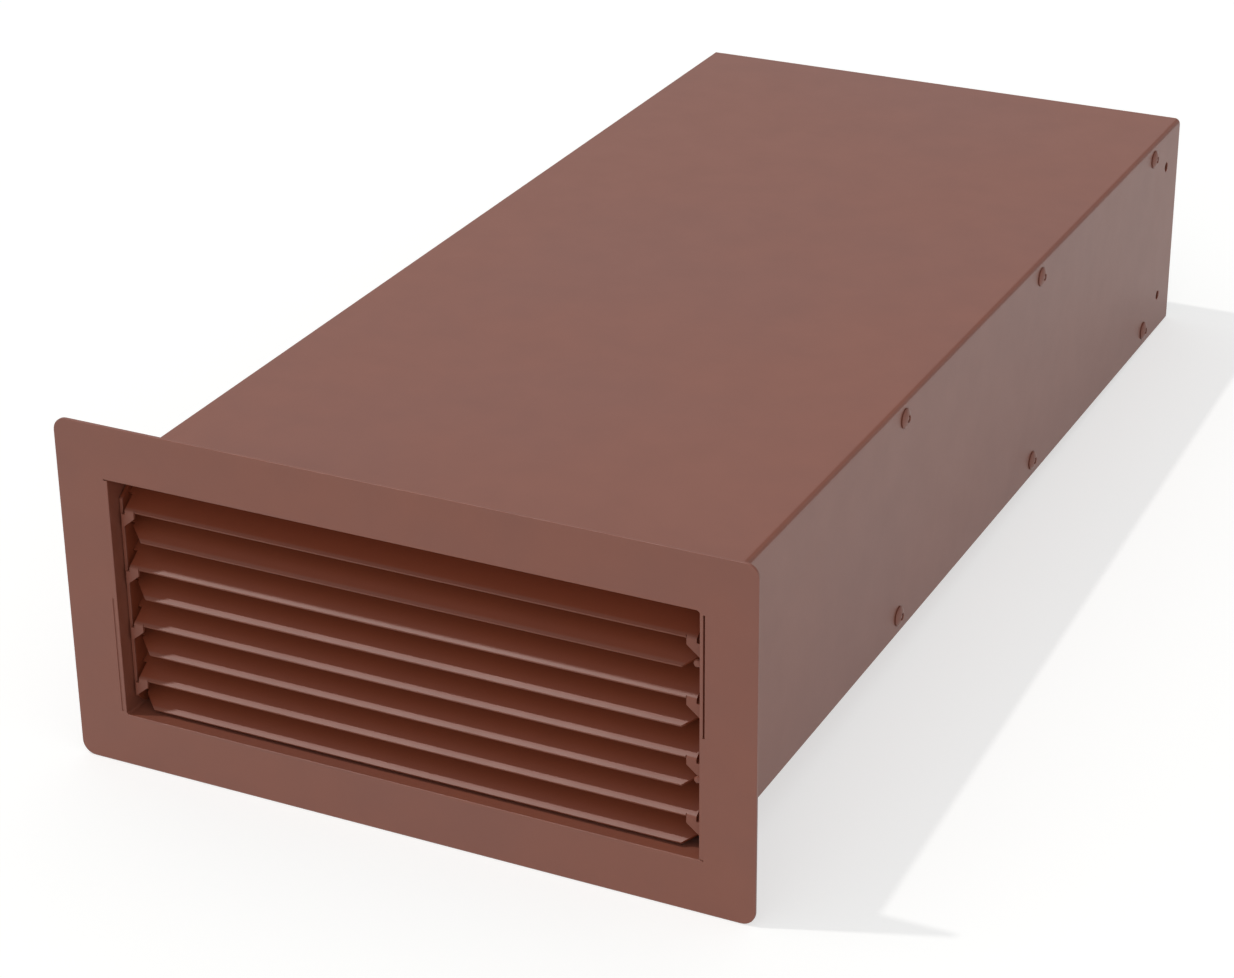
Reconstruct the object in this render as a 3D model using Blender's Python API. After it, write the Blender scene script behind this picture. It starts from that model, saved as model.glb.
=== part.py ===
"""Through-wall air brick: a louvred face plate on a riveted sheet-metal sleeve, in metres, +Z up.

The face plate looks along -Y and the sleeve runs back along +Y. X = 0 is the middle of the width,
Y = 0 the middle of the depth and Z = 0 the face plate's lower edge.
"""

import math

import bmesh
import bpy
from mathutils import Matrix, Vector

# Sleeve: clear size inside, overall depth, and the two folded shells that it is nested from
DUCT_WIDTH = 0.220
DUCT_HEIGHT = 0.091
OVERALL_DEPTH = 0.500
SHELL_SHEET = 0.0012
SHELL_BEND_RADIUS = 0.0024
SHELL_EDGE_STEP = 0.0009
SHELL_RELIEF = 0.0010

# Face plate and the cut-out that the sleeve's front edges sit in
FACE_BORDER = 0.020
FACE_SHEET = 0.0012
FACE_CORNER_RADIUS = 0.005
SLIT_WIDTH = 0.0005

# Louvre: comb plates inside the sleeve's sides, and sloping blades between them
LOUVRE_SETBACK = 0.0045
COMB_SHEET = 0.0012
COMB_DEPTH = 0.0120
COMB_CORNER_CUT = 0.0039
COMB_TOP_STRIP = 0.0034
BLADE_COUNT = 8
BLADE_SHEET = 0.0010
BLADE_LENGTH_ALONG_SLOPE = 0.0200
BLADE_SLOPE = math.radians(35)
BLADE_END_GAP = 0.0015
TOP_BLADE_CLEARANCE = 0.0012
LOWEST_BLADE_CLEARANCE = 0.0010
BLADE_CORNER_CHAMFER = 0.0055
TONGUE_SETBACK = 0.0070
TONGUE_LENGTH = 0.0060

# Ears, bent down from the front corners of every other blade
EAR_WIDTH = 0.0036
EAR_FOOT = 0.0014
EAR_NECK_HEIGHT = 0.0011
EAR_INNER_HEIGHT = 0.0022
EAR_OUTER_HEIGHT = 0.0060
EAR_TIP_WIDTH = 0.0004
EAR_BEND_RADIUS = 0.0011
EAR_RELIEF_WIDTH = 0.0002

# Blind rivets through both shells' sides
RIVET_FRONT_SETBACK = 0.026
RIVET_REAR_SETBACK = 0.036
RIVETS_IN_ROW = 4
RIVET_EDGE_DISTANCE = 0.0070
RIVET_HEAD_RADIUS = 0.0040
RIVET_HEAD_HEIGHT = 0.0014
RIVET_RIM_HEIGHT = 0.0003
RIVET_SHANK_RADIUS = 0.0020
RIVET_MANDREL_RADIUS = 0.0013
RIVET_MANDREL_DEPTH = 0.0020
RIVET_BULB_RADIUS = 0.0029
RIVET_BULB_LENGTH = 0.0036

# Screw holes near the sleeve's rear edge
REAR_HOLE_RADIUS = 0.0020
REAR_HOLE_INSET = 0.0170
REAR_HOLE_SPACING = 0.0600

# Clearance between pieces that touch, and how finely round forms are faceted
FIT_GAP = 0.0003
BEND_FACETS = 4
CORNER_FACETS = 8
HOLE_FACETS = 20
RIVET_FACETS = 16
DOME_FACETS = 3

# Places that follow from those sizes
FACE_WIDTH = DUCT_WIDTH + 2 * FACE_BORDER
FACE_HEIGHT = DUCT_HEIGHT + 2 * FACE_BORDER
FACE_REAR = -OVERALL_DEPTH / 2 + FACE_SHEET + FIT_GAP
MIDDLE_HEIGHT = FACE_HEIGHT / 2
FRONT = -OVERALL_DEPTH / 2
REAR = OVERALL_DEPTH / 2
CEILING = MIDDLE_HEIGHT + DUCT_HEIGHT / 2
FLOOR = MIDDLE_HEIGHT - DUCT_HEIGHT / 2
SIDE_INNER = DUCT_WIDTH / 2
SIDE_OUTER = SIDE_INNER + SHELL_SHEET
SHELL_HALF_HEIGHT = DUCT_HEIGHT / 2 + SHELL_SHEET
SIDE_STRAIGHT_HALF = SHELL_HALF_HEIGHT - SHELL_BEND_RADIUS
INNER_SIDE_OUTER = SIDE_INNER - FIT_GAP
COMB_OUTER = SIDE_INNER - FIT_GAP
COMB_INNER = COMB_OUTER - COMB_SHEET
COMB_FRONT = FRONT + LOUVRE_SETBACK + BLADE_SHEET + FIT_GAP
COMB_REAR = COMB_FRONT + COMB_DEPTH
LOUVRE_FRONT = FRONT + LOUVRE_SETBACK
BLADE_END = COMB_INNER - BLADE_END_GAP
SLOPE_SIN = math.sin(BLADE_SLOPE)
SLOPE_COS = math.cos(BLADE_SLOPE)
BLADE_RISE = BLADE_LENGTH_ALONG_SLOPE * SLOPE_SIN
TOP_BLADE_HEIGHT = CEILING - TOP_BLADE_CLEARANCE - BLADE_RISE
LOWEST_BLADE_HEIGHT = FLOOR + LOWEST_BLADE_CLEARANCE + BLADE_SHEET * SLOPE_COS
BLADE_PITCH = (TOP_BLADE_HEIGHT - LOWEST_BLADE_HEIGHT) / (BLADE_COUNT - 1)
RIVET_PITCH = (OVERALL_DEPTH - RIVET_FRONT_SETBACK - RIVET_REAR_SETBACK) / (RIVETS_IN_ROW - 1)
REAR_STRIP_FRONT = REAR - RIVET_REAR_SETBACK + RIVET_HEAD_RADIUS + FIT_GAP

POWDER_COAT = (0.250, 0.078, 0.048)
POWDER_COAT_ROUGHNESS = 0.45


def clear_scene():
    """Removes whatever the file opened with."""
    for item in list(bpy.data.objects):
        bpy.data.objects.remove(item)


def powder_coat(name):
    """The polyester powder coat that every piece is sprayed with."""
    material = bpy.data.materials.new(name + "_powder_coat")
    material.use_nodes = True
    shader = material.node_tree.nodes["Principled BSDF"]
    shader.inputs["Base Color"].default_value = (*POWDER_COAT, 1)
    shader.inputs["Roughness"].default_value = POWDER_COAT_ROUGHNESS
    shader.inputs["Metallic"].default_value = 0.0
    material.diffuse_color = (*POWDER_COAT, 1)
    return material


def place(name, shape, parent):
    """Makes a named object from a bmesh, with a material of its own, under the assembly's empty."""
    bmesh.ops.recalc_face_normals(shape, faces=shape.faces)
    mesh = bpy.data.meshes.new(name)
    shape.to_mesh(mesh)
    shape.free()
    piece = bpy.data.objects.new(name, mesh)
    bpy.context.scene.collection.objects.link(piece)
    piece.data.materials.append(powder_coat(name))
    piece.parent = parent
    return piece


def thick_outline(outline, thickness):
    """A flat solid: the outline in X and Y, with its upper face at Z = 0 and its lower one below."""
    shape = bmesh.new()
    corners = [shape.verts.new((x, y, 0.0)) for x, y in outline]
    face = shape.faces.new(corners)
    made = bmesh.ops.extrude_face_region(shape, geom=[face])
    lowered = [item for item in made["geom"] if isinstance(item, bmesh.types.BMVert)]
    bmesh.ops.translate(shape, verts=lowered, vec=(0, 0, -thickness))
    return shape


def slice_across(shape, places, axis):
    """Cuts the solid's faces at each place along an axis, so that it can be bent there."""
    for place_along in places:
        everything = list(shape.verts) + list(shape.edges) + list(shape.faces)
        bmesh.ops.bisect_plane(shape, geom=everything, plane_co=axis * place_along, plane_no=axis, dist=1e-7)


def remap(shape, rule):
    """Moves every corner of the solid to where the rule puts it."""
    for corner in shape.verts:
        corner.co = rule(corner.co)


def cylinder(shape, radius, start, end, facets):
    """Adds a closed cylinder between two points to the bmesh."""
    along = end - start
    turn = along.to_track_quat("Z", "Y").to_matrix().to_4x4()
    bmesh.ops.create_cone(
        shape,
        cap_ends=True,
        segments=facets,
        radius1=radius,
        radius2=radius,
        depth=along.length,
        matrix=Matrix.Translation((start + end) / 2) @ turn,
    )


def make_cutter(name, shape, parent):
    """A hidden solid that others are cut with."""
    bmesh.ops.recalc_face_normals(shape, faces=shape.faces)
    mesh = bpy.data.meshes.new(name)
    shape.to_mesh(mesh)
    shape.free()
    cutter = bpy.data.objects.new(name, mesh)
    bpy.context.scene.collection.objects.link(cutter)
    cutter.hide_render = True
    cutter.display_type = "WIRE"
    cutter.parent = parent
    return cutter


def cut(piece, cutter):
    """Takes the cutter's solid out of the piece."""
    modifier = piece.modifiers.new("cut_" + cutter.name, "BOOLEAN")
    modifier.operation = "DIFFERENCE"
    modifier.solver = "EXACT"
    modifier.object = cutter


def rivet_places():
    """The depth and height of every rivet on one side, front to rear and upper row first."""
    upper = CEILING + SHELL_SHEET - RIVET_EDGE_DISTANCE
    lower = FLOOR - SHELL_SHEET + RIVET_EDGE_DISTANCE
    depths = [FRONT + RIVET_FRONT_SETBACK + RIVET_PITCH * step for step in range(RIVETS_IN_ROW)]
    return [("upper", upper, depths), ("lower", lower, depths)]


def edge_lines():
    """Depths where the shells get an edge line.

    One lies behind the face plate, one midway between each two rivets, and the last bounds the rear strip,
    clear of rivet heads, that a duct is screwed to.
    """
    depths = rivet_places()[0][2]
    between = [(ahead + behind) / 2 for ahead, behind in zip(depths, depths[1:])]
    return [FACE_REAR] + between + [REAR_STRIP_FRONT]


def sleeve_hole_cutter(parent):
    """Clearance holes for the rivets and screw holes near the rear edge, from side to side of the sleeve."""
    shape = bmesh.new()
    reach = SIDE_OUTER + SHELL_SHEET
    holes = []
    for _, height, depths in rivet_places():
        holes += [(depth, height, RIVET_SHANK_RADIUS + FIT_GAP) for depth in depths]
    for height in (MIDDLE_HEIGHT - REAR_HOLE_SPACING / 2, MIDDLE_HEIGHT + REAR_HOLE_SPACING / 2):
        holes.append((REAR - REAR_HOLE_INSET, height, REAR_HOLE_RADIUS))
    for depth, height, radius in holes:
        left = Vector((-reach, depth, height))
        right = Vector((reach, depth, height))
        cylinder(shape, radius, left, right, HOLE_FACETS)
    return make_cutter("sleeve_hole_cutter", shape, parent)


def rounded_rectangle(width, height, radius):
    """The outline of the face plate, anticlockwise, with its corners as arcs."""
    points = []
    for quarter in range(4):
        across = width / 2 - radius if quarter in (0, 3) else radius - width / 2
        up = height / 2 - radius if quarter in (0, 1) else radius - height / 2
        for step in range(CORNER_FACETS + 1):
            angle = math.pi / 2 * (quarter + step / CORNER_FACETS)
            points.append((across + radius * math.cos(angle), up + radius * math.sin(angle)))
    return points


def cut_out_outline():
    """The opening in the face plate, the same when turned half round.

    It clears the sleeve all round. Its right side is wider above the middle and its left side below it,
    and the corners at those wider ends are cut across the shells' bends, while the other two are square.
    """
    half_width = SIDE_OUTER + FIT_GAP
    half_height = SHELL_HALF_HEIGHT + FIT_GAP
    corner_cut = (2 - math.sqrt(2)) * (SHELL_BEND_RADIUS + FIT_GAP)
    right_side = [
        (half_width, -half_height),
        (half_width, 0.0),
        (half_width + SLIT_WIDTH, 0.0),
        (half_width + SLIT_WIDTH, SIDE_STRAIGHT_HALF),
        (half_width, SIDE_STRAIGHT_HALF),
        (half_width, half_height - corner_cut),
        (half_width - corner_cut, half_height),
    ]
    return right_side + [(-x, -y) for x, y in right_side]


def stand_up(shape, front):
    """Turns a flat solid, drawn in X and Y, to face -Y with its upper face at the given depth."""
    remap(shape, lambda co: Vector((co.x, front - co.z, MIDDLE_HEIGHT + co.y)))


def face_plate(parent):
    """The flat front plate, laser cut with round corners."""
    shape = thick_outline(rounded_rectangle(FACE_WIDTH, FACE_HEIGHT, FACE_CORNER_RADIUS), FACE_SHEET)
    stand_up(shape, FRONT)
    plate = place("face_plate", shape, parent)
    opening = thick_outline(cut_out_outline(), 3 * FACE_SHEET)
    stand_up(opening, FRONT - FACE_SHEET)
    cut(plate, make_cutter("face_cut_out", opening, parent))
    return plate


def shell(name, turned, parent, holes):
    """Half of the sleeve: a sheet folded into a channel, with one side outside and one inside the other half.

    It is drawn as the upper half, developed flat from the middle of its top, then folded. Its right side
    hangs outside the lower half's. Its left side lies inside it and starts behind the comb plate, and in
    front of that the top runs out flat over the other half's side, which is that much lower there. The
    lower half is the same sheet turned half round.
    """
    arc_length = SHELL_BEND_RADIUS * math.pi / 2
    right_flat = SIDE_OUTER - SHELL_BEND_RADIUS
    bend_end = right_flat + arc_length
    right_end = bend_end + SIDE_STRAIGHT_HALF + SHELL_HALF_HEIGHT - SHELL_EDGE_STEP
    right_front_end = bend_end + SIDE_STRAIGHT_HALF + DUCT_HEIGHT / 2 - FIT_GAP
    left_flat = INNER_SIDE_OUTER - SHELL_BEND_RADIUS
    left_end = left_flat + arc_length + 2 * SIDE_STRAIGHT_HALF
    side_front = COMB_REAR + FIT_GAP
    tongue_rear = side_front - SHELL_RELIEF
    outline = [
        (right_front_end, FRONT),
        (right_front_end, side_front),
        (right_end, side_front),
        (right_end, REAR),
        (-left_end, REAR),
        (-left_end, side_front),
        (-left_flat, side_front),
        (-left_flat, tongue_rear),
        (-SIDE_OUTER, tongue_rear),
        (-SIDE_OUTER, FRONT),
    ]
    shape = thick_outline(outline, SHELL_SHEET)
    slice_across(shape, edge_lines(), Vector((0, 1, 0)))
    steps = [arc_length * step / BEND_FACETS for step in range(BEND_FACETS + 1)]
    bend_lines = [right_flat + step for step in steps] + [-left_flat - step for step in steps]
    slice_across(shape, bend_lines, Vector((1, 0, 0)))
    turn = -1 if turned else 1

    def folded(co):
        side = math.copysign(1, co.x)
        flat_half = right_flat if side > 0 else left_flat
        past = abs(co.x) - flat_half
        in_front = side < 0 and co.y < (tongue_rear + side_front) / 2
        x, z = co.x, SHELL_HALF_HEIGHT + co.z
        if past > 0 and not in_front:
            angle = min(past / SHELL_BEND_RADIUS, math.pi / 2)
            radius = SHELL_BEND_RADIUS + co.z
            x = side * (flat_half + radius * math.sin(angle))
            z = SIDE_STRAIGHT_HALF + radius * math.cos(angle) - max(past - arc_length, 0)
        return Vector((turn * x, co.y, MIDDLE_HEIGHT + turn * z))

    remap(shape, folded)
    half = place(name, shape, parent)
    cut(half, holes)
    return half


def blade_heights():
    """The height of each blade's upper front edge, from the top blade down."""
    return [TOP_BLADE_HEIGHT - BLADE_PITCH * row for row in range(BLADE_COUNT)]


def on_slope(along, depth_in_sheet, height):
    """The depth and height of a point on a blade: so far up the slope, and so deep in the sheet."""
    y = LOUVRE_FRONT + along * SLOPE_COS + depth_in_sheet * SLOPE_SIN
    z = height + along * SLOPE_SIN - depth_in_sheet * SLOPE_COS
    return y, z


def comb_cutter(parent):
    """Slots for the blades' tongues, from side to side through both comb plates, and a block above them.

    The block trims the comb plates' top edge to run along the top blade, a strip above it.
    """
    shape = bmesh.new()
    middle = TONGUE_SETBACK + TONGUE_LENGTH / 2
    length = TONGUE_LENGTH + 2 * FIT_GAP
    thickness = BLADE_SHEET + 2 * FIT_GAP
    turn = Matrix.Rotation(BLADE_SLOPE, 4, "X")
    for height in blade_heights():
        y, z = on_slope(middle, BLADE_SHEET / 2, height)
        size = Matrix.Diagonal((2 * SIDE_INNER, length, thickness, 1))
        bmesh.ops.create_cube(shape, size=1, matrix=Matrix.Translation((0, y, z)) @ turn @ size)
    block = DUCT_HEIGHT
    y = COMB_FRONT - block / 2 * SLOPE_SIN
    z = TOP_BLADE_HEIGHT + COMB_TOP_STRIP + block / 2 * SLOPE_COS
    size = Matrix.Diagonal((2 * SIDE_INNER, block, block, 1))
    bmesh.ops.create_cube(shape, size=1, matrix=Matrix.Translation((0, y, z)) @ turn @ size)
    return make_cutter("comb_cutter", shape, parent)


def comb_plate(name, side, parent, slots_and_top):
    """The slotted plate that carries one end of every blade, spot welded to the sleeve between its bends."""
    top = MIDDLE_HEIGHT + SIDE_STRAIGHT_HALF
    bottom = MIDDLE_HEIGHT - SIDE_STRAIGHT_HALF
    outline = [
        (COMB_FRONT, bottom + COMB_CORNER_CUT),
        (COMB_FRONT + COMB_CORNER_CUT, bottom),
        (COMB_REAR, bottom),
        (COMB_REAR, top),
        (COMB_FRONT, top),
    ]
    shape = thick_outline(outline, COMB_SHEET)
    remap(shape, lambda co: Vector((side * (COMB_OUTER + co.z), co.x, co.y)))
    comb = place(name, shape, parent)
    cut(comb, slots_and_top)
    return comb


def tongue_outline():
    """The tongue on a blade's right end, as it leaves and comes back to that end."""
    return [
        (BLADE_END, TONGUE_SETBACK),
        (COMB_OUTER, TONGUE_SETBACK),
        (COMB_OUTER, TONGUE_SETBACK + TONGUE_LENGTH),
        (BLADE_END, TONGUE_SETBACK + TONGUE_LENGTH),
        (BLADE_END, BLADE_LENGTH_ALONG_SLOPE),
    ]


def mirrored(right_side):
    """A whole outline from its right side, listed from the front up the slope."""
    return right_side + [(-x, y) for x, y in reversed(right_side)]


def chamfered_blade(name, height, parent):
    """A blade with its two front corners cut off."""
    right_side = [
        (BLADE_END - BLADE_CORNER_CHAMFER, 0.0),
        (BLADE_END, BLADE_CORNER_CHAMFER),
    ]
    shape = thick_outline(mirrored(right_side + tongue_outline()), BLADE_SHEET)
    remap(shape, lambda co: Vector((co.x, *on_slope(co.y, -co.z, height))))
    return place(name, shape, parent)


def eared_blade(name, height, parent):
    """A blade with an ear folded down at each front corner.

    The blank carries the ears in front of its front edge, freed from it by a narrow relief, each with
    a waist at the fold, a foot that reaches towards the comb plate and its inner corner cut across.
    """
    fold_angle = math.pi / 2 - BLADE_SLOPE
    arc_length = EAR_BEND_RADIUS * fold_angle
    ear_inner = BLADE_END - EAR_WIDTH
    # The fold starts up the slope by as much as brings the ear's outer face to the louvre's front
    fold_start = EAR_BEND_RADIUS * math.tan(fold_angle / 2)
    fold_end = fold_start - arc_length
    right_side = [
        (ear_inner - EAR_RELIEF_WIDTH, 0.0),
        (ear_inner - EAR_RELIEF_WIDTH, fold_start),
        (ear_inner, fold_start),
        (ear_inner, fold_end - EAR_INNER_HEIGHT),
        (BLADE_END + EAR_FOOT - EAR_TIP_WIDTH, fold_end - EAR_OUTER_HEIGHT),
        (BLADE_END + EAR_FOOT, fold_end - EAR_OUTER_HEIGHT),
        (BLADE_END + EAR_FOOT, fold_end - EAR_NECK_HEIGHT),
        (BLADE_END, fold_end - EAR_NECK_HEIGHT),
    ]
    shape = thick_outline(mirrored(right_side + tongue_outline()), BLADE_SHEET)
    fold_lines = [fold_start - arc_length * step / BEND_FACETS for step in range(BEND_FACETS + 1)]
    slice_across(shape, fold_lines, Vector((0, 1, 0)))
    centre_y, centre_z = on_slope(fold_start, EAR_BEND_RADIUS, height)

    def folded(co):
        past = fold_start - co.y
        if past <= 0 or abs(co.x) < ear_inner - EAR_RELIEF_WIDTH / 2:
            return Vector((co.x, *on_slope(co.y, -co.z, height)))
        angle = BLADE_SLOPE + min(past / EAR_BEND_RADIUS, fold_angle)
        radius = EAR_BEND_RADIUS + co.z
        straight = max(past - arc_length, 0)
        y = centre_y - radius * math.sin(angle)
        z = centre_z + radius * math.cos(angle) - straight
        return Vector((co.x, y, z))

    remap(shape, folded)
    return place(name, shape, parent)


def rivet_profile():
    """Half the rivet's section as height along its axis and radius, from the blind end to the mandrel hole.

    Height 0 is the underside of the head.
    """
    grip = 2 * SHELL_SHEET + 3 * FIT_GAP
    bulb_end = -grip - RIVET_BULB_LENGTH
    bulb_round = (RIVET_BULB_RADIUS - RIVET_MANDREL_RADIUS) / 2
    mouth = RIVET_MANDREL_RADIUS + RIVET_RIM_HEIGHT
    points = [
        (bulb_end, 0.0),
        (bulb_end, RIVET_BULB_RADIUS - bulb_round),
        (bulb_end + bulb_round, RIVET_BULB_RADIUS),
        (-grip - FIT_GAP, RIVET_BULB_RADIUS),
        (-grip, RIVET_SHANK_RADIUS),
        (0.0, RIVET_SHANK_RADIUS),
        (0.0, RIVET_HEAD_RADIUS),
    ]
    for step in range(DOME_FACETS + 1):
        outward = 1 - step / DOME_FACETS
        rise = RIVET_RIM_HEIGHT + (RIVET_HEAD_HEIGHT - RIVET_RIM_HEIGHT) * (1 - outward * outward)
        points.append((rise, mouth + (RIVET_HEAD_RADIUS - mouth) * outward))
    points += [
        (RIVET_HEAD_HEIGHT - RIVET_RIM_HEIGHT, RIVET_MANDREL_RADIUS),
        (RIVET_HEAD_HEIGHT - RIVET_MANDREL_DEPTH, RIVET_MANDREL_RADIUS),
        (RIVET_HEAD_HEIGHT - RIVET_MANDREL_DEPTH, 0.0),
    ]
    return points


def rivet_shape():
    """One blind rivet, turned about its axis, which points along +X out of the sleeve's side."""
    shape = bmesh.new()
    corners = [shape.verts.new((along, 0.0, radius)) for along, radius in rivet_profile()]
    edges = [shape.edges.new(pair) for pair in zip(corners, corners[1:])]
    bmesh.ops.spin(
        shape,
        geom=corners + edges,
        cent=(0, 0, 0),
        axis=(1, 0, 0),
        angle=2 * math.pi,
        steps=RIVET_FACETS,
    )
    bmesh.ops.remove_doubles(shape, verts=shape.verts, dist=1e-6)
    return shape


def rivets(parent):
    """Two rows of four on each side, which share one mesh. The left ones are turned half round."""
    first = place("right_upper_rivet_1", rivet_shape(), parent)
    first.data.shade_smooth()
    first.data.set_sharp_from_angle(angle=math.radians(40))
    for side_name, side in (("right", 1), ("left", -1)):
        for row_name, height, depths in rivet_places():
            for number, depth in enumerate(depths, start=1):
                name = f"{side_name}_{row_name}_rivet_{number}"
                rivet = first
                if name != first.name:
                    rivet = bpy.data.objects.new(name, first.data)
                    bpy.context.scene.collection.objects.link(rivet)
                    rivet.parent = parent
                rivet.location = (side * (SIDE_OUTER + FIT_GAP), depth, height)
                rivet.rotation_euler = (0, 0, 0 if side > 0 else math.pi)


def build():
    """Builds the sleeve, the face plate, the louvre and the rivets."""
    clear_scene()
    assembly = bpy.data.objects.new("air_brick", None)
    bpy.context.scene.collection.objects.link(assembly)
    sleeve_holes = sleeve_hole_cutter(assembly)
    slots_and_top = comb_cutter(assembly)

    face_plate(assembly)
    shell("upper_shell", False, assembly, sleeve_holes)
    shell("lower_shell", True, assembly, sleeve_holes)
    for side_name, side in (("left", -1), ("right", 1)):
        comb_plate(side_name + "_comb_plate", side, assembly, slots_and_top)
    for row, height in enumerate(blade_heights()):
        make_blade = chamfered_blade if row % 2 else eared_blade
        make_blade(f"louvre_blade_{row + 1}", height, assembly)
    rivets(assembly)


build()
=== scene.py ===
"""Air brick: a louvred face plate on a sleeve of two riveted sheet-metal shells, all powder coated.

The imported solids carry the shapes. This script gives them their coat and softened edges, and adds the
rivets' fine form, the coat that bridges the face plate's joint, the filler along the sleeve's free edges,
and the weld bead and tacks.
"""

import math

import bmesh
import bpy
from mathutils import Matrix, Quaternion, Vector


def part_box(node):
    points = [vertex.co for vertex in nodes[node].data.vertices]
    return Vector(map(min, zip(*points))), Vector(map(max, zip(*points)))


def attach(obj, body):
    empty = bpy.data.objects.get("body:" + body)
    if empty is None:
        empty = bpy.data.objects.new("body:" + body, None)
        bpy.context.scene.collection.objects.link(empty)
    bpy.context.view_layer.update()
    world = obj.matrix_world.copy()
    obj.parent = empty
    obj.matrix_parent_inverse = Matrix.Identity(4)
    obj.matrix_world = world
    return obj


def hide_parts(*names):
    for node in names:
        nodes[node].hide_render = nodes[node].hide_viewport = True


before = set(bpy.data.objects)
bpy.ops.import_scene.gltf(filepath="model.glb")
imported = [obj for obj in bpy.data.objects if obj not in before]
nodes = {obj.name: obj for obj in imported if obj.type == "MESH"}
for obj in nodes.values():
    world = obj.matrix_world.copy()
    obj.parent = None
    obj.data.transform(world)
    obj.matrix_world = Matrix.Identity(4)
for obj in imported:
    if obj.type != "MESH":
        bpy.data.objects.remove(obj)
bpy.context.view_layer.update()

# Camera
# The photograph's viewpoint: in front, to the right and above, through a long lens. It is rolled by half a
# degree.

CAMERA_PLACE = Vector((0.4716, -1.0414, 0.5772))
CAMERA_TARGET = Vector((-0.0253, -0.0324, 0.0291))
CAMERA_LENS = 92.87
CAMERA_SENSOR = 36.0
CAMERA_ROLL = math.radians(-0.53)

camera = bpy.data.objects.new("camera", bpy.data.cameras.new("camera"))
camera.data.lens = CAMERA_LENS
camera.data.sensor_width = CAMERA_SENSOR
camera.location = CAMERA_PLACE
aim = (CAMERA_TARGET - CAMERA_PLACE).to_track_quat("-Z", "Y")
camera.rotation_euler = (aim @ Quaternion((0, 0, 1), CAMERA_ROLL)).to_euler()
bpy.context.scene.collection.objects.link(camera)
bpy.context.scene.camera = camera
bpy.context.scene.view_settings.view_transform = "Standard"

# Floor
# A plain pale studio floor. It leans by two degrees, because the part rests on the lower edge of its face
# plate in front and on the sleeve's lower edge behind, which sits higher.

FLOOR_SIZE = 12.0
FLOOR_CLEARANCE = 0.0002
FLOOR_COLOUR = (0.52, 0.52, 0.51)
FLOOR_GLOW = 0.58
FLOOR_CLOUD_NOISE = {"lumps": 3.0, "detail": 3.0}
FLOOR_CLOUD_RISE = (0.3, 0.7)
FLOOR_CLOUD_SHADE = 0.985
FLOOR_ROUGHNESS = 0.9
FLOOR_GLOSS = 0.1
BLACK = (0.0, 0.0, 0.0, 1.0)


class Field:
    """A socket in a node tree: arithmetic on it adds Math nodes, and make() adds any other node."""

    def __init__(self, tree, socket):
        self.tree = tree
        self.socket = socket

    def make(self, kind, settings, inputs, output=0):
        """Adds a node with its settings first, then the values or links of its sockets."""
        node = self.tree.nodes.new(kind)
        for name, setting in settings.items():
            setattr(node, name, setting)
        for name, value in inputs.items():
            if isinstance(value, Field):
                self.tree.links.new(value.socket, node.inputs[name])
            else:
                node.inputs[name].default_value = value
        return Field(self.tree, node.outputs[output])

    def math(self, operation, *values):
        """Adds a Math node on two values, of which any may be a plain number."""
        return self.make("ShaderNodeMath", {"operation": operation}, dict(enumerate(values)))

    def __add__(self, other):
        return self.math("ADD", self, other)

    def __radd__(self, other):
        return self.math("ADD", other, self)

    def __sub__(self, other):
        return self.math("SUBTRACT", self, other)

    def __rsub__(self, other):
        return self.math("SUBTRACT", other, self)

    def __mul__(self, other):
        return self.math("MULTIPLY", self, other)

    def __rmul__(self, other):
        return self.math("MULTIPLY", other, self)

    def rise(self, low, high):
        """0 below low, 1 above high, and a smooth rise between."""
        settings = {"interpolation_type": "SMOOTHSTEP"}
        inputs = {"Value": self, "From Min": low, "From Max": high}
        return self.make("ShaderNodeMapRange", settings, inputs)

    def noise(self, lumps, detail, roughness=0.5):
        """Noise from 0 to 1 on this place, with so many lumps to a metre."""
        inputs = {"Vector": self, "Scale": lumps, "Detail": detail, "Roughness": roughness}
        return self.make("ShaderNodeTexNoise", {"noise_dimensions": "3D"}, inputs)

    def moved(self, shift):
        """This place moved by a shift."""
        return self.make("ShaderNodeVectorMath", {"operation": "ADD"}, {0: self, 1: shift})

    def along(self, direction):
        """How far this place or direction lies along another direction."""
        inputs = {0: self, 1: direction}
        return self.make("ShaderNodeVectorMath", {"operation": "DOT_PRODUCT"}, inputs, "Value")

    def blend_colours(self, first, second):
        """The first colour where this is 0 and the second where it is 1.

        A Mix node has its two colours on sockets 6 and 7 and the blended one on output 2.
        """
        settings = {"data_type": "RGBA", "clamp_factor": True}
        return self.make("ShaderNodeMix", settings, {0: self, 6: first, 7: second}, 2)


def new_finish(name):
    """A new material, its shader, and the place on the object as a field to start patterns from."""
    material = bpy.data.materials.new(name)
    material.use_nodes = True
    tree = material.node_tree
    shader = tree.nodes["Principled BSDF"]
    place = tree.nodes.new("ShaderNodeTexCoord").outputs["Object"]
    return material, shader, Field(tree, place)


def feed(shader, socket, field):
    """Links a field to one of the shader's sockets."""
    field.tree.links.new(field.socket, shader.inputs[socket])


def mesh_object(name, shape, material):
    """A new object from a bmesh, with its faces turned outward."""
    bmesh.ops.recalc_face_normals(shape, faces=shape.faces)
    mesh = bpy.data.meshes.new(name)
    shape.to_mesh(mesh)
    shape.free()
    mesh.materials.append(material)
    item = bpy.data.objects.new(name, mesh)
    bpy.context.scene.collection.objects.link(item)
    return item


def seen_directly(tree):
    """1 where the camera looks straight, by a reflection or through glass, and 0 for diffuse light."""
    path = tree.nodes.new("ShaderNodeLightPath")
    straight = Field(tree, path.outputs["Is Camera Ray"])
    reflected = Field(tree, path.outputs["Is Glossy Ray"])
    through = Field(tree, path.outputs["Is Transmission Ray"])
    return straight.math("MINIMUM", straight + reflected + through, 1.0)


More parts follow.
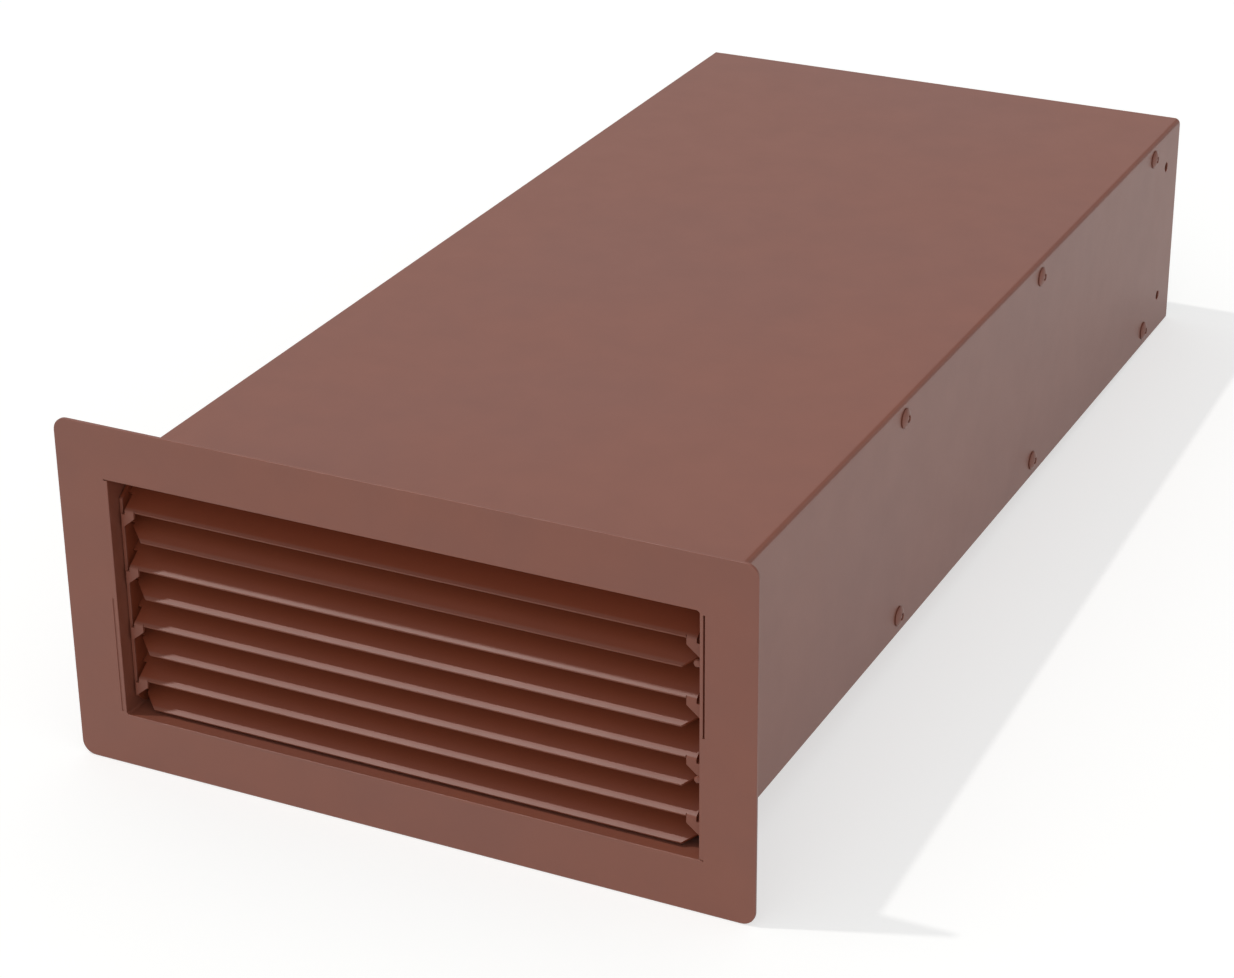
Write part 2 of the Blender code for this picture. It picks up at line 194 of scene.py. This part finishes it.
def floor_paint():
    """Matt pale paint with a faint cloud in it, which looks nearly white and keeps the part's shadow."""
    material, shader, place = new_finish("floor_paint")
    cloud = place.noise(**FLOOR_CLOUD_NOISE).rise(*FLOOR_CLOUD_RISE)
    light = (*FLOOR_COLOUR, 1.0)
    dark = (*[FLOOR_CLOUD_SHADE * part for part in FLOOR_COLOUR], 1.0)
    feed(shader, "Base Color", cloud.blend_colours(dark, light))
    glow = (FLOOR_GLOW, FLOOR_GLOW, FLOOR_GLOW, 1.0)
    feed(shader, "Emission Color", seen_directly(place.tree).blend_colours(BLACK, glow))
    shader.inputs["Emission Strength"].default_value = 1.0
    shader.inputs["Roughness"].default_value = FLOOR_ROUGHNESS
    shader.inputs["Specular IOR Level"].default_value = FLOOR_GLOSS
    return material


def studio_floor():
    """The floor's plane, through the two lower edges that the part rests on."""
    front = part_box("face_plate")[0]
    rear_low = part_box("lower_shell")[0].z
    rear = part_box("lower_shell")[1].y
    slope = (rear_low - front.z) / (rear - front.y)
    shape = bmesh.new()
    half = FLOOR_SIZE / 2
    corners = []
    for x, y in ((-half, -half), (half, -half), (half, half), (-half, half)):
        height = front.z - FLOOR_CLEARANCE + slope * (y - front.y)
        corners.append(shape.verts.new((x, y, height)))
    shape.faces.new(corners)
    floor = mesh_object("studio_floor", shape, floor_paint())


studio_floor()

# Light
# Plain soft studio light: a pale world with a dimmer patch behind on the right, a weak broad panel in
# front, and one small distant light from above the left that draws the bright strips on the blades.

WORLD_LIGHT = 0.60
WORLD_COLOUR = (0.97, 0.99, 1.0)
DIM_DIRECTION = (0.48, 0.80, 0.36)
DIM_RISE = (0.80, 0.98)
DIM_SHARE = 0.55
KEY_DIRECTION = Vector((2.65, 0.93, -5.5))
KEY_STRENGTH = 0.94
KEY_SPREAD = math.radians(1.5)
KEY_COLOUR = (1.0, 0.985, 0.96)
FRONT_PLACE = Vector((0.45, -1.9, 0.75))
FRONT_SIZE = (1.6, 0.9)
FRONT_POWER = 3.6


def studio_world():
    """The pale world with its dimmer patch."""
    world = bpy.data.worlds.new("studio")
    world.use_nodes = True
    tree = world.node_tree
    background = tree.nodes["Background"]
    direction = Field(tree, tree.nodes.new("ShaderNodeTexCoord").outputs["Generated"])
    dim = direction.along(DIM_DIRECTION).rise(*DIM_RISE) * DIM_SHARE
    background.inputs["Color"].default_value = (*WORLD_COLOUR, 1.0)
    tree.links.new((WORLD_LIGHT * (1.0 - dim)).socket, background.inputs["Strength"])
    bpy.context.scene.world = world


def key_light():
    """The small distant light."""
    key = bpy.data.objects.new("key_light", bpy.data.lights.new("key_light", "SUN"))
    key.data.energy = KEY_STRENGTH
    key.data.angle = KEY_SPREAD
    key.data.color = KEY_COLOUR
    key.rotation_euler = KEY_DIRECTION.to_track_quat("-Z", "Y").to_euler()
    bpy.context.scene.collection.objects.link(key)


def front_panel():
    """The broad panel, which looks at the middle of the part."""
    panel = bpy.data.objects.new("front_panel", bpy.data.lights.new("front_panel", "AREA"))
    panel.data.shape = "RECTANGLE"
    panel.data.size = FRONT_SIZE[0]
    panel.data.size_y = FRONT_SIZE[1]
    panel.data.energy = FRONT_POWER
    panel.location = FRONT_PLACE
    panel.rotation_euler = (-FRONT_PLACE).to_track_quat("-Z", "Y").to_euler()
    bpy.context.scene.collection.objects.link(panel)


studio_world()
key_light()
front_panel()

# Face plate
# A flat flange of 1.2 mm galvanised sheet, laser cut with round corners and a cut-out that the sleeve's
# front edges sit in. It is sprayed with the same matt terracotta polyester powder as every other piece.

COAT_WARM = (0.268, 0.082, 0.048)
COAT_COOL = (0.256, 0.082, 0.052)
# Painted shade: the darker, deeper colour given to coat that lies further in, where shade falls.
COAT_PAINTED_SHADE = (0.249, 0.054, 0.0225)
PAINTED_SHADE_REACH = 0.0008
COAT_IOR = 1.6
COAT_GLOSS = 0.5
CLOUD_NOISE = {"lumps": 7.0, "detail": 3.0}
MOTTLE_NOISE = {"lumps": 55.0, "detail": 4.0, "roughness": 0.6}
PEEL_NOISE = {"lumps": 850.0, "detail": 1.5, "roughness": 0.4}
GRIT_NOISE = {"lumps": 3600.0, "detail": 1.0}
CLOUD_SHARE = 0.75
HUE_RISE = (0.36, 0.64)
SPECK_RISE = (0.25, 0.75)
SPECK_SHADE = 0.08
LEAST_ROUGHNESS = 0.37
MOTTLE_ROUGHNESS = 0.06
GRIT_ROUGHNESS = 0.05
PEEL_SHARE = 0.8
PEEL_DEPTH = 0.00002
PEEL_STRENGTH = 0.25
INWARD = (0.0, 1.0, 0.0)
JOIN_WITHIN = 0.000002
EDGE_ROUNDING = 0.00015
EDGE_SEGMENTS = 2
CUT_EDGE_FROM = math.radians(35)
CREASE_FROM = math.radians(15)


def powder_coat(name, shift, painted_shade_from=None, gloss=COAT_GLOSS):
    """Terracotta powder coat: faint clouds of hue, fine grit and the slight orange peel of baked powder.

    The shift gives each piece its own part of the pattern. Behind the place along Y given as the third
    argument, the colour turns darker and deeper in hue: painted shade for parts that lie further in.
    """
    material, shader, place = new_finish(name)
    spot = place.moved(shift)
    cloud = spot.noise(**CLOUD_NOISE)
    mottle = spot.noise(**MOTTLE_NOISE)
    peel = spot.noise(**PEEL_NOISE)
    grit = spot.noise(**GRIT_NOISE)
    hue = (cloud * CLOUD_SHARE + mottle * (1 - CLOUD_SHARE)).rise(*HUE_RISE)
    tinted = hue.blend_colours((*COAT_WARM, 1.0), (*COAT_COOL, 1.0))
    # Painted shade: behind the given place along Y the colour blends towards the darker one.
    if painted_shade_from is not None:
        behind = place.along(INWARD).rise(painted_shade_from, painted_shade_from + PAINTED_SHADE_REACH)
        tinted = behind.blend_colours(tinted, (*COAT_PAINTED_SHADE, 1.0))
    speck = (grit * 0.5 + mottle * 0.5).rise(*SPECK_RISE) * SPECK_SHADE
    feed(shader, "Base Color", speck.blend_colours(tinted, BLACK))
    feed(shader, "Roughness", LEAST_ROUGHNESS + MOTTLE_ROUGHNESS * mottle + GRIT_ROUGHNESS * grit)
    shader.inputs["IOR"].default_value = COAT_IOR
    shader.inputs["Specular IOR Level"].default_value = gloss
    height = peel * PEEL_SHARE + grit * (1 - PEEL_SHARE)
    bump = {"Strength": PEEL_STRENGTH, "Distance": PEEL_DEPTH, "Height": height}
    feed(shader, "Normal", height.make("ShaderNodeBump", {}, bump))
    return material


def facet_joiner(name, crease):
    """A node group that joins a solid's loose facets and shades it smooth but for sharper creases."""
    group = bpy.data.node_groups.new(name, "GeometryNodeTree")
    group.interface.new_socket("Geometry", in_out="INPUT", socket_type="NodeSocketGeometry")
    group.interface.new_socket("Geometry", in_out="OUTPUT", socket_type="NodeSocketGeometry")
    solid = Field(group, group.nodes.new("NodeGroupInput").outputs[0])
    joining = {"Geometry": solid, "Distance": JOIN_WITHIN}
    joined = solid.make("GeometryNodeMergeByDistance", {}, joining)
    angle = solid.make("GeometryNodeInputMeshEdgeAngle", {}, {})
    sharp = angle.math("GREATER_THAN", angle, crease)
    shading = {"Mesh": joined, "Remove Custom": True, "Edge Sharpness": sharp, "Face Sharpness": False}
    shaded = solid.make("GeometryNodeSetMeshNormal", {"mode": "SHARPNESS"}, shading)
    group.links.new(shaded.socket, group.nodes.new("NodeGroupOutput").inputs[0])
    return group


SMOOTH_FOLDS = facet_joiner("smooth_folds", CUT_EDGE_FROM)
CREASED_FOLDS = facet_joiner("creased_folds", CREASE_FROM)


def soften_edges(item, width):
    """Rounds an item's cut edges as the coat does, and keeps its flats flat."""
    bevel = item.modifiers.new("round_edges", "BEVEL")
    bevel.width = width
    bevel.segments = EDGE_SEGMENTS
    bevel.limit_method = "ANGLE"
    bevel.angle_limit = CUT_EDGE_FROM
    bevel.use_clamp_overlap = False
    flats = item.modifiers.new("even_flats", "WEIGHTED_NORMAL")
    flats.keep_sharp = True


def dress(node_name, material, width=EDGE_ROUNDING, folds=SMOOTH_FOLDS):
    """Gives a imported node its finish, its folds' shading and softened edges."""
    item = nodes[node_name]
    for slot in item.material_slots:
        slot.material = material
    joiner = item.modifiers.new("join_facets", "NODES")
    joiner.node_group = folds
    soften_edges(item, width)


FACE_COAT = powder_coat("face_powder_coat", (0.0, 0.0, 0.0))

dress("face_plate", FACE_COAT)

# Sleeve shells
# Two sheets folded into channels and nested, so that each side wall is double. The press brake leaves
# each outside fold as a band of narrow flats, and each free edge stops short of the other shell's flat.

SHELL_ROUNDING = 0.0002
SLEEVE_COAT = powder_coat("sleeve_powder_coat", (0.3, 0.1, 0.2))

dress("upper_shell", SLEEVE_COAT, SHELL_ROUNDING, CREASED_FOLDS)
dress("lower_shell", SLEEVE_COAT, SHELL_ROUNDING, CREASED_FOLDS)

# Front seam
# The coat bridges the hairline joint between the face plate's cut-out and the sleeve's front edges, and
# leaves open only two slits beside the sleeve and a small nick at two corners. It nearly fills the left
# slit.

SLEEVE_HALF_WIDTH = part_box("upper_shell")[1].x
SLEEVE_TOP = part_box("upper_shell")[1].z
SLEEVE_MIDDLE = (SLEEVE_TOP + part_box("lower_shell")[0].z) / 2
SLEEVE_HALF_HEIGHT = SLEEVE_TOP - SLEEVE_MIDDLE
FOLD_RADIUS = 0.0024
FOLD_STEPS = 8
SEAM_OVERLAP = 0.0004
SEAM_OUTER = 0.00062
SEAM_DEPTH = 0.00115
SEAM_SETBACK = 0.00001
SEAM_SHADE_BEHIND = 0.0003
SLIT_OUTER_WALL = 0.00064
SLIT_WALL_REACH = 0.0012
NICK_LOW = 0.0015
NICK_HIGH = 0.0010
GROOVE_DEPTH = 0.00022


def prism(shape, outline, front, depth):
    """Adds an upright prism to the bmesh: an outline in X and Z, and how far back it reaches."""
    near = [shape.verts.new((x, front, z)) for x, z in outline]
    far = [shape.verts.new((x, front + depth, z)) for x, z in outline]
    shape.faces.new(near)
    shape.faces.new(reversed(far))
    for low in range(len(outline)):
        high = (low + 1) % len(outline)
        shape.faces.new((near[low], near[high], far[high], far[low]))


def fold_arc(offset):
    """Points round the upper right fold at an offset from its outside, from the side to the top."""
    across = SLEEVE_HALF_WIDTH - FOLD_RADIUS
    up = SLEEVE_HALF_HEIGHT - FOLD_RADIUS
    reach = FOLD_RADIUS + offset
    angles = [math.pi / (2 * FOLD_STEPS) * step for step in range(FOLD_STEPS + 1)]
    return [(across + reach * math.cos(angle), up + reach * math.sin(angle)) for angle in angles]


def seam_outlines():
    """The seam's strips and corner fills on the right and above, from the sleeve's middle."""
    wide, tall = SLEEVE_HALF_WIDTH, SLEEVE_HALF_HEIGHT
    fold_side, fold_top = wide - FOLD_RADIUS, tall - FOLD_RADIUS
    inner, outer = wide - SEAM_OVERLAP, wide + SEAM_OUTER
    below, above = tall - SEAM_OVERLAP, tall + SEAM_OUTER
    near, far = wide + SLIT_OUTER_WALL, wide + SLIT_WALL_REACH
    strip_end = NICK_LOW - tall
    nick_end = tall - NICK_HIGH
    lower_strip = [(inner, strip_end), (outer, strip_end), (outer, 0.0), (inner, 0.0)]
    slit_wall = [(near, 0.0), (far, 0.0), (far, fold_top), (near, fold_top)]
    corner = [(far, fold_top)] + fold_arc(-SEAM_OVERLAP) + [(fold_side, above), (far, above)]
    top_strip = [(-inner, below), (fold_side, below), (fold_side, above), (-inner, above)]
    nick_roof = [(-inner, nick_end), (-inner, above), (-outer, above), (-outer, nick_end)]
    return [lower_strip, slit_wall, corner, top_strip, nick_roof]


def front_seam():
    """Both halves of the seam, of which the second is the first turned half round, and the left groove."""
    shape = bmesh.new()
    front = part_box("face_plate")[0].y + SEAM_SETBACK
    for outline in seam_outlines():
        for turn in (1, -1):
            placed = [(turn * x, SLEEVE_MIDDLE + turn * z) for x, z in outline]
            prism(shape, placed, front, SEAM_DEPTH)
    left, right = -SLEEVE_HALF_WIDTH - SLIT_WALL_REACH, -SLEEVE_HALF_WIDTH + SEAM_SETBACK
    low = SLEEVE_MIDDLE - SLEEVE_HALF_HEIGHT + FOLD_RADIUS
    groove = [(left, low), (right, low), (right, SLEEVE_MIDDLE), (left, SLEEVE_MIDDLE)]
    prism(shape, groove, front + GROOVE_DEPTH, SEAM_DEPTH / 2)
    # Painted shade: a little behind the face, the seam's colour turns darker in the slits and the groove.
    coat = powder_coat("seam_powder_coat", (0.0, 0.0, 0.0), front + SEAM_SHADE_BEHIND)
    seam = mesh_object("front_seam_coat", shape, coat)
    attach(seam, "root")


front_seam()

# Edge joint filler
# Behind the front tongues, the joint between each shell's free edge and the other shell's fold is filled
# flush and coated over, so that no groove shows along the sleeve's upper left edge.

FILLER_LEAD = 0.0009
FILLER_TAIL = 0.0003
FILLER_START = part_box("right_comb_plate")[1].y - FILLER_LEAD
FILLER_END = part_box("upper_shell")[1].y - FILLER_TAIL
FILLER_FOOT = 0.0011
SKIN = 0.00001
FILLER_SECTION = (
    (0.0039, SKIN),
    (0.0003, SKIN),
    (0.0001, 0.0001),
    (SKIN, 0.0003),
    (SKIN, FILLER_FOOT),
    (0.0014, FILLER_FOOT),
    (0.0017, 0.0021),
    (0.0027, 0.0007),
)


def edge_joint_filler():
    """A long strip along the upper left edge, and its copy turned half round at the lower right.

    The section's points are given by how far they lie in from the sleeve's side and down from its top.
    """
    wide, tall = SLEEVE_HALF_WIDTH, SLEEVE_HALF_HEIGHT
    shape = bmesh.new()
    for turn in (1, -1):
        outline = []
        for inward, down in FILLER_SECTION:
            outline.append((-turn * (wide - inward), SLEEVE_MIDDLE + turn * (tall - down)))
        prism(shape, outline, FILLER_START, FILLER_END - FILLER_START)
    filler = mesh_object("edge_joint_filler", shape, SLEEVE_COAT)
    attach(filler, "root")


edge_joint_filler()

# Weld bead
# A thin fillet of weld, coated over, that runs round the sleeve and holds the face plate to it from
# behind. It lies in the shade of the plate, and that shade is painted into its colour, darker all over.

BEAD_LEG = 0.0028
BEAD_BELLY = 0.42
BEAD_INSET = 0.0011
BEAD_LAP = 0.00005
BEAD_SPANS_ACROSS = 60
BEAD_SPANS_UP = 24
BEAD_SHADE_AHEAD = 0.01
BEAD_GLOSS = 0.1
PLATE_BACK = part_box("face_plate")[1].y


def sleeve_outline(offset):
    """Points round the sleeve's outside at an offset from it, with two corners round and two square."""
    wide, tall = SLEEVE_HALF_WIDTH, SLEEVE_HALF_HEIGHT
    half = fold_arc(offset)
    for step in range(1, BEAD_SPANS_ACROSS):
        across = (2 * wide - FOLD_RADIUS) * step / BEAD_SPANS_ACROSS
        half.append((wide - FOLD_RADIUS - across, tall + offset))
    half.append((-wide - offset, tall + offset))
    for step in range(1, BEAD_SPANS_UP):
        down = (2 * tall - FOLD_RADIUS) * step / BEAD_SPANS_UP
        half.append((-wide - offset, tall - down))
    return half + [(-x, -z) for x, z in half]


def weld_bead():
    """The fillet, of four rings: inside the plate's back, out on it, at the belly and along the sleeve."""
    shape = bmesh.new()
    sections = (
        (-BEAD_INSET, PLATE_BACK - BEAD_LAP),
        (BEAD_LEG, PLATE_BACK - BEAD_LAP),
        (BEAD_LEG * BEAD_BELLY, PLATE_BACK + BEAD_LEG * BEAD_BELLY),
        (-BEAD_INSET, PLATE_BACK + BEAD_LEG),
    )
    rings = []
    for offset, depth in sections:
        places = [(x, depth, SLEEVE_MIDDLE + z) for x, z in sleeve_outline(offset)]
        rings.append([shape.verts.new(place) for place in places])
    for ring, following in zip(rings, rings[1:] + rings[:1]):
        for low in range(len(ring)):
            high = (low + 1) % len(ring)
            shape.faces.new((ring[low], ring[high], following[high], following[low]))
    for face in shape.faces:
        face.smooth = True
    coat = powder_coat("weld_powder_coat", (0.2, 0.5, 0.3), PLATE_BACK - BEAD_SHADE_AHEAD, BEAD_GLOSS)
    bead = mesh_object("weld_bead", shape, coat)
    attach(bead, "root")


weld_bead()

# Comb plates
# Slotted strips inside the sleeve's sides, which carry the ends of the louvre blades. Two small weld tacks
# show below ears on the right one. A little behind its front edge each piece's colour turns darker, as
# painted shade.

COMB_ROUNDING = 0.0001
COMB_SHADE_BEHIND = 0.0002
BLADE_SHADE_BEHIND = 0.0006
INNER_GLOSS = 0.35
# Painted shade starts this far behind the comb plates' and blades' front edges.
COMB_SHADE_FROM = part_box("right_comb_plate")[0].y + COMB_SHADE_BEHIND
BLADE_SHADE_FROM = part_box("louvre_blade_1")[0].y + BLADE_SHADE_BEHIND
COMB_COAT = powder_coat("comb_powder_coat", (0.4, 0.8, 0.1), COMB_SHADE_FROM, INNER_GLOSS)
LOUVRE_COAT = powder_coat("louvre_powder_coat", (0.7, 0.4, 0.1), BLADE_SHADE_FROM, INNER_GLOSS)
TACK_HALF_SIZES = Vector((0.0013, 0.0007, 0.0012))
TACK_CUTS = 7
TACK_BALL = 1.15
TACK_ROUNDNESS = 0.62
TACK_WAVE = 0.08
TACK_CROSS_WAVE = 0.05
TACKS = (
    ("weld_tack_1", Vector((0.1076, -0.2456, 0.0243)), 1.0),
    ("weld_tack_2", Vector((0.1077, -0.2455, -0.0183)), 0.9),
)


def weld_tack(name, place, size):
    """A small lump of weld, coated over: a cube with its corners rounded off and two waves across it."""
    shape = bmesh.new()
    bmesh.ops.create_cube(shape, size=2.0)
    bmesh.ops.subdivide_edges(shape, edges=shape.edges, cuts=TACK_CUTS, use_grid_fill=True)
    for corner in shape.verts:
        x, y, z = corner.co
        ball = corner.co.normalized() * TACK_BALL
        uneven = 1 + TACK_WAVE * math.sin(5 * x + 3 * z) + TACK_CROSS_WAVE * math.cos(7 * y)
        lump = corner.co.lerp(ball, TACK_ROUNDNESS) * uneven
        corner.co = lump * TACK_HALF_SIZES * size + place
        corner.co.z += SLEEVE_MIDDLE
    for face in shape.faces:
        face.smooth = True
    tack = mesh_object(name, shape, LOUVRE_COAT)
    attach(tack, "root")


dress("left_comb_plate", COMB_COAT, COMB_ROUNDING)
dress("right_comb_plate", COMB_COAT, COMB_ROUNDING)
for tack_name, tack_place, tack_size in TACKS:
    weld_tack(tack_name, tack_place, tack_size)

# Louvre blades
# Eight strips of 1 mm sheet at 35 degrees, whose tongues sit in the comb plates' slots. Every second one
# has an ear folded down at each front corner, and the others have those corners cut off.

BLADE_COUNT = 8
BLADE_ROUNDING = 0.00007

for number in range(1, BLADE_COUNT + 1):
    dress(f"louvre_blade_{number}", LOUVRE_COAT, BLADE_ROUNDING)

# Rivets
# Blind rivets with a low domed head. The stub of the broken mandrel sits in the mouth of each, and its
# round blind end bulges inside the sleeve. They are coated over with the rest.

RIVETS_IN_ROW = 4
RIVET_HEAD_HEIGHT = 0.0014
RIVET_CREASE_FROM = math.radians(50)
RIVET_SPOKES = 48
RIVET_PROFILE = (
    (-0.0069, 0.0),
    (-0.0069, 0.0019),
    (-0.0066, 0.0026),
    (-0.0060, 0.0029),
    (-0.0040, 0.0029),
    (-0.0034, 0.0026),
    (-0.0031, 0.0020),
    (-0.0003, 0.0020),
    (-0.0003, 0.0036),
    (-0.00018, 0.00380),
    (0.00002, 0.00384),
    (0.00018, 0.00376),
    (0.00044, 0.00340),
    (0.00070, 0.00290),
    (0.00092, 0.00240),
    (0.00112, 0.00188),
    (0.00122, 0.00160),
    (0.00124, 0.00148),
    (0.00116, 0.00138),
    (0.00080, 0.00134),
    (0.00035, 0.00130),
    (0.00035, 0.00100),
    (0.00075, 0.00096),
    (0.00090, 0.00080),
    (0.00096, 0.00040),
    (0.00096, 0.0),
)


def turned(profile, spokes):
    """A closed solid turned about the X axis from half its section: places along it with their radii."""
    shape = bmesh.new()
    turns = [2 * math.pi * spoke / spokes for spoke in range(spokes)]
    rings = []
    for along, radius in profile:
        if radius == 0.0:
            tip = shape.verts.new((along, 0.0, 0.0))
            rings.append([tip] * spokes)
            continue
        places = [(along, radius * math.cos(turn), radius * math.sin(turn)) for turn in turns]
        rings.append([shape.verts.new(place) for place in places])
    for ring, following in zip(rings, rings[1:]):
        for low in range(spokes):
            high = (low + 1) % spokes
            corners = (ring[low], ring[high], following[high], following[low])
            shape.faces.new(list(dict.fromkeys(corners)))
    return shape


def blind_rivets():
    """The sixteen rivets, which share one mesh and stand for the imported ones."""
    coat = powder_coat("rivet_powder_coat", (0.9, 0.2, 0.6))
    first = mesh_object("right_upper_fine_rivet_1", turned(RIVET_PROFILE, RIVET_SPOKES), coat)
    first.data.shade_smooth()
    first.data.set_sharp_from_angle(angle=RIVET_CREASE_FROM)
    for side, turn in (("right", 0.0), ("left", math.pi)):
        for row in ("upper", "lower"):
            for number in range(1, RIVETS_IN_ROW + 1):
                packed = f"{side}_{row}_rivet_{number}"
                low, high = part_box(packed)
                rivet = first
                if packed != "right_upper_rivet_1":
                    rivet = bpy.data.objects.new(f"{side}_{row}_fine_rivet_{number}", first.data)
                    bpy.context.scene.collection.objects.link(rivet)
                underside = high.x - RIVET_HEAD_HEIGHT if side == "right" else low.x + RIVET_HEAD_HEIGHT
                rivet.location = (underside, (low.y + high.y) / 2, (low.z + high.z) / 2)
                rivet.rotation_euler = (0.0, 0.0, turn)
                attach(rivet, "root")
                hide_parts(packed)


blind_rivets()
